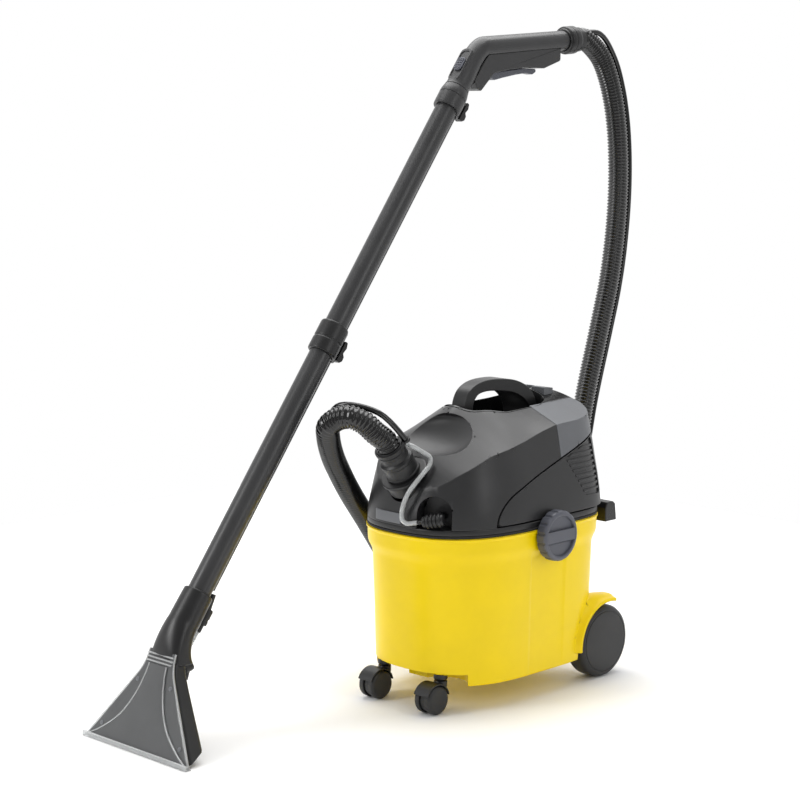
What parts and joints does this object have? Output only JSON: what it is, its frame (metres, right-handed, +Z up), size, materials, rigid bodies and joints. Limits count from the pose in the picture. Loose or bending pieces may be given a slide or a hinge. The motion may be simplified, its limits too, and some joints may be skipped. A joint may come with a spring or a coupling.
{
  "type": "spot extractor",
  "caption": "Wheeled spray-extraction cleaner: tub container, lift-off suction head with carrying handle and water tank, corrugated hose, and wand on a clear-fronted floor nozzle.",
  "frame": {"origin": "centre of the box round the machine and the standing wand, without the hoses, on the floor", "axes": "+Z up; the container's front, with its casters and the suction port, faces -Y; the wand stands on the -X side and its nozzle is in front, towards -Y"},
  "size_m": [0.3796, 1.0972, 1.0321],
  "materials": {
    "yellow_body": "satin gloss moulded",
    "black_plastic": "fine satin grain",
    "wheel_black": "satin",
    "head_grey": "fine satin grain",
    "panel_grey": "satin",
    "knob_grey": "satin",
    "white_plastic": "satin",
    "float_orange": "satin",
    "clear_plastic": "clear moulded plastic",
    "hose_black": "gloss corrugated",
    "gasket_rubber": "matte",
    "steel": "turned",
    "motor_metal": "cast"
  },
  "bodies": {
    "machine": {"container": "yellow_body", "rear_bracket": "black_plastic", "rear_axle": "steel", "caster_socket_left": "black_plastic", "caster_socket_right": "black_plastic"},
    "head": {"head_shell": "head_grey", "head_base": "black_plastic", "rim_gasket": "gasket_rubber", "carrying_handle": "black_plastic", "control_panel": "panel_grey", "port_collar": "black_plastic", "spray_coupling": "black_plastic", "label_plate": "panel_grey", "fan_housing": "black_plastic", "fan_motor": "motor_metal", "spray_pump": "black_plastic", "float_cage": "white_plastic", "intake_elbow": "black_plastic", "port_cuff": "black_plastic", "hose_clip": "black_plastic", "connector_tube": "clear_plastic", "suction_hose": "hose_black", "spray_hose": "hose_black"},
    "tank": {"fresh_water_tank": "head_grey"},
    "impeller": {"fan_impeller": "motor_metal"},
    "float": {"float": "float_orange"},
    "wand": {"nozzle_body": "black_plastic", "nozzle_cover": "clear_plastic", "nozzle_lip": "panel_grey", "spray_jet": "black_plastic", "spray_valve": "black_plastic", "nozzle_spray_tube": "clear_plastic", "lower_tube": "black_plastic", "upper_tube": "black_plastic", "tube_collar": "black_plastic", "tube_latch": "black_plastic", "handle_latch": "black_plastic", "grip_shell": "black_plastic", "grip_panel": "head_grey"},
    "trigger": {"spray_trigger": "head_grey"},
    "slider": {"air_slider": "knob_grey"},
    "swivel": {"hose_swivel": "black_plastic"},
    "rear_wheel_left": {"rear_wheel_left": "wheel_black"},
    "caster_left": {"caster_fork_left": "black_plastic", "caster_axle_left": "steel"},
    "roller_left_inner": {"caster_wheel_left_inner": "wheel_black"},
    "roller_left_outer": {"caster_wheel_left_outer": "wheel_black"},
    "lock_left": {"lock_knob_left": "knob_grey", "lock_cam_left": "white_plastic"},
    "switch_left": {"switch_left": "panel_grey"},
    "rear_wheel_right": {"rear_wheel_right": "wheel_black"},
    "caster_right": {"caster_fork_right": "black_plastic", "caster_axle_right": "steel"},
    "roller_right_inner": {"caster_wheel_right_inner": "wheel_black"},
    "roller_right_outer": {"caster_wheel_right_outer": "wheel_black"},
    "lock_right": {"lock_knob_right": "knob_grey", "lock_cam_right": "white_plastic"},
    "switch_right": {"switch_right": "panel_grey"}
  },
  "joints": [
    {"name": "rear_wheel_spin_left", "type": "hinge", "parent": "machine", "child": "rear_wheel_left", "pos_m": [-0.06615, 0.28625, 0.058], "axis": [1, 0, 0], "continuous": true},
    {"name": "caster_swivel_left", "type": "hinge", "parent": "machine", "child": "caster_left", "pos_m": [-0.02225, -0.02975, 0.06], "axis": [0, 0, 1], "continuous": true},
    {"name": "caster_roll_left_inner", "type": "hinge", "parent": "caster_left", "child": "roller_left_inner", "pos_m": [-0.01125, -0.04975, 0.022], "axis": [1, 0, 0], "continuous": true},
    {"name": "caster_roll_left_outer", "type": "hinge", "parent": "caster_left", "child": "roller_left_outer", "pos_m": [-0.03325, -0.04975, 0.022], "axis": [1, 0, 0], "continuous": true},
    {"name": "lock_turn_left", "type": "hinge", "parent": "machine", "child": "lock_left", "pos_m": [-0.10275, 0.13825, 0.256], "axis": [1, 0, 0], "range_deg": [-90, 0]},
    {"name": "switch_press_left", "type": "slide", "parent": "head", "child": "switch_left", "axis": [0, 0, -1], "range_m": [0, 0.003], "stiffness_N_per_m": 200, "springref_m": -0.001},
    {"name": "rear_wheel_spin_right", "type": "hinge", "parent": "machine", "child": "rear_wheel_right", "pos_m": [0.14065, 0.28625, 0.058], "axis": [1, 0, 0], "continuous": true},
    {"name": "caster_swivel_right", "type": "hinge", "parent": "machine", "child": "caster_right", "pos_m": [0.09675, -0.02975, 0.06], "axis": [0, 0, 1], "continuous": true},
    {"name": "caster_roll_right_inner", "type": "hinge", "parent": "caster_right", "child": "roller_right_inner", "pos_m": [0.08575, -0.04975, 0.022], "axis": [1, 0, 0], "continuous": true},
    {"name": "caster_roll_right_outer", "type": "hinge", "parent": "caster_right", "child": "roller_right_outer", "pos_m": [0.10775, -0.04975, 0.022], "axis": [1, 0, 0], "continuous": true},
    {"name": "lock_turn_right", "type": "hinge", "parent": "machine", "child": "lock_right", "pos_m": [0.17725, 0.13825, 0.256], "axis": [1, 0, 0], "range_deg": [-90, 0]},
    {"name": "switch_press_right", "type": "slide", "parent": "head", "child": "switch_right", "axis": [0, 0, -1], "range_m": [0, 0.003], "stiffness_N_per_m": 200, "springref_m": -0.001},
    {"name": "head_lift", "type": "slide", "parent": "machine", "child": "head", "axis": [0, 0, 1], "range_m": [0, 0.12]},
    {"name": "tank_slide", "type": "slide", "parent": "head", "child": "tank", "axis": [0, 1, 0], "range_m": [0, 0.16]},
    {"name": "impeller_spin", "type": "hinge", "parent": "head", "child": "impeller", "pos_m": [0.03725, 0.15225, 0.31], "axis": [0, 0, 1], "continuous": true},
    {"name": "float_rise", "type": "slide", "parent": "head", "child": "float", "axis": [0, 0, 1], "range_m": [0, 0.025]},
    {"name": "wand_tilt", "type": "hinge", "parent": "head", "child": "wand", "pos_m": [-0.07275, -0.47475, 0], "axis": [1, 0, 0], "range_deg": [-2, 20], "deforming": ["suction_hose", "spray_hose"]},
    {"name": "trigger_squeeze", "type": "hinge", "parent": "wand", "child": "trigger", "pos_m": [-0.07275, 0.35825, 0.957], "axis": [1, 0, 0], "range_deg": [-4, 0], "stiffness_Nm_per_rad": 0.5, "springref_deg": 5.73},
    {"name": "air_slide", "type": "slide", "parent": "wand", "child": "slider", "axis": [0, -0.5991, -0.8007], "range_m": [0, 0.01]},
    {"name": "hose_turn", "type": "hinge", "parent": "wand", "child": "swivel", "pos_m": [-0.07275, 0.45225, 1.0085], "axis": [0, 0.9972, 0.0748], "continuous": true}
  ]
}
